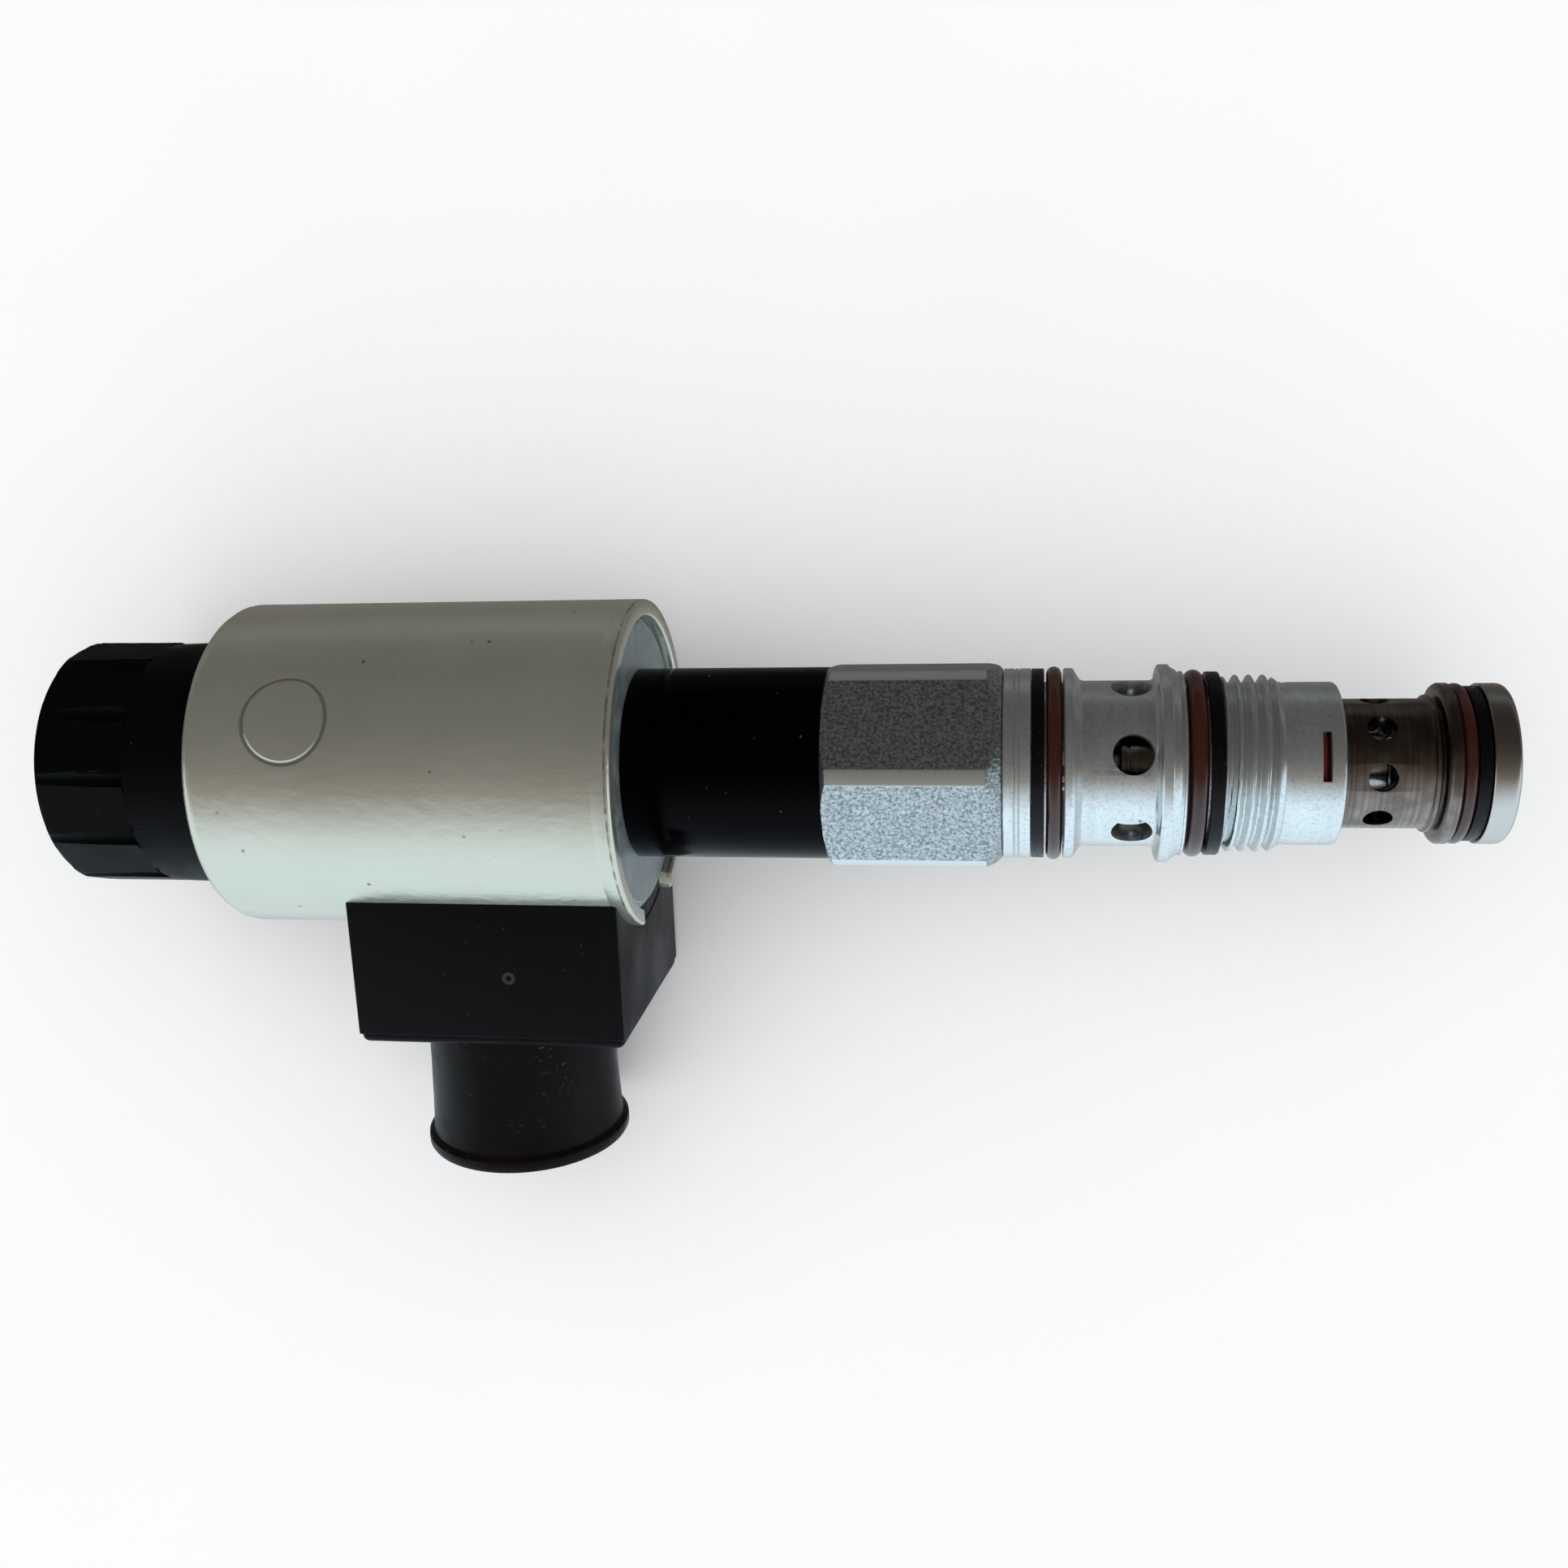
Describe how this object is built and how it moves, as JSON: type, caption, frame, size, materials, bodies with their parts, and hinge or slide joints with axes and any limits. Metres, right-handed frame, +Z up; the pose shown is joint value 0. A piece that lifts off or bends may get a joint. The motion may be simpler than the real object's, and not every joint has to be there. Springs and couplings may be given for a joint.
{
  "type": "cartridge valve",
  "caption": "Screw-in hydraulic cartridge valve worked by a solenoid: round coil with a capped connector, wrench hexagon, cross ports, sealed lands and a floating nose.",
  "frame": {"origin": "on the valve axis, in the nose-side face of the locating shoulder that seats in the manifold", "axes": "+X along the valve axis towards the nose, +Z up with the valve lying on its coil and the cap's lip, connector towards -Y"},
  "size_m": [0.1665, 0.0689, 0.0388],
  "materials": {
    "zinc_shell": "satin zinc plating on a deep-drawn steel can",
    "pole_steel": "zinc-plated soft iron",
    "bobbin_nylon": "glass-filled nylon",
    "copper_wire": "enamelled copper",
    "black_nylon": "black glass-filled nylon, lightly grained",
    "terminal_brass": "tinned brass",
    "insert_brass": "turned brass",
    "cap_plastic": "scuffed black moulded polyethylene",
    "nut_nylon": "black moulded nylon",
    "brown_rubber": "brown fluoro rubber",
    "tube_steel": "drawn stainless tube",
    "soft_iron": "turned soft iron",
    "hard_steel": "ground hardened steel",
    "bronze": "sintered bronze",
    "black_adapter": "glossy black zinc-nickel plating on steel",
    "zinc_body": "bright clear zinc plating on turned steel",
    "backup_ptfe": "black filled fluoropolymer",
    "red_wire": "red lacquered spring steel",
    "nose_steel": "heat-treated, bare steel with a brown cast",
    "spring_steel": "drawn spring wire"
  },
  "bodies": {
    "cartridge": {"solenoid_tube": "tube_steel", "tube_plug": "tube_steel", "air_gap_shim": "insert_brass", "pole_piece": "soft_iron", "adapter": "black_adapter", "adapter_oring": "brown_rubber", "pin_bush": "bronze", "valve_body": "zinc_body", "backup_ring_1": "backup_ptfe", "oring_1": "brown_rubber", "oring_2": "brown_rubber", "backup_ring_2": "backup_ptfe", "retaining_wire": "red_wire"},
    "coil": {"coil_shell": "zinc_shell", "front_plate": "pole_steel", "bobbin": "bobbin_nylon", "winding": "copper_wire", "overmould": "black_nylon", "power_blades": "terminal_brass", "earth_blade": "terminal_brass", "screw_insert": "insert_brass"},
    "cap": {"protective_cap": "cap_plastic"},
    "nut_seal": {"nut_oring": "brown_rubber"},
    "nut": {"coil_nut": "nut_nylon"},
    "nose": {"nose_sleeve": "nose_steel", "sleeve_oring": "brown_rubber", "oring_3": "brown_rubber", "backup_ring_3": "backup_ptfe", "spring_seat": "hard_steel", "return_spring": "spring_steel"},
    "plunger": {"armature": "soft_iron", "push_pin": "hard_steel"},
    "spool_body": {"spool": "hard_steel"}
  },
  "joints": [
    {"name": "coil_swivel", "type": "hinge", "parent": "cartridge", "child": "coil", "pos_m": [-0.08505, 0, 0], "axis": [1, 0, 0], "continuous": true},
    {"name": "cap_pull", "type": "slide", "parent": "coil", "child": "cap", "axis": [0, -0.9898, -0.1427], "range_m": [0, 0.024]},
    {"name": "nut_advance", "type": "slide", "parent": "cartridge", "child": "nut_seal", "axis": [-1, 0, 0], "range_m": [0, 0.0105]},
    {"name": "nut_turn", "type": "hinge", "parent": "nut_seal", "child": "nut", "pos_m": [-0.1201, 0, 0], "axis": [-1, 0, 0], "range_deg": [0, 2520]},
    {"name": "nose_swivel", "type": "hinge", "parent": "cartridge", "child": "nose", "pos_m": [0.01812, 0, 0], "axis": [1, 0, 0], "continuous": true},
    {"name": "plunger_stroke", "type": "slide", "parent": "cartridge", "child": "plunger", "axis": [1, 0, 0], "range_m": [0, 0.0022]},
    {"name": "spool_stroke", "type": "slide", "parent": "nose", "child": "spool_body", "axis": [1, 0, 0], "range_m": [0, 0.0022], "deforming": ["return_spring"]}
  ],
  "couplings": [
    {"joint": "nut_advance", "follows": "nut_turn", "m_per_rad": 0.00023873},
    {"joint": "spool_stroke", "follows": "plunger_stroke", "ratio": 1}
  ]
}
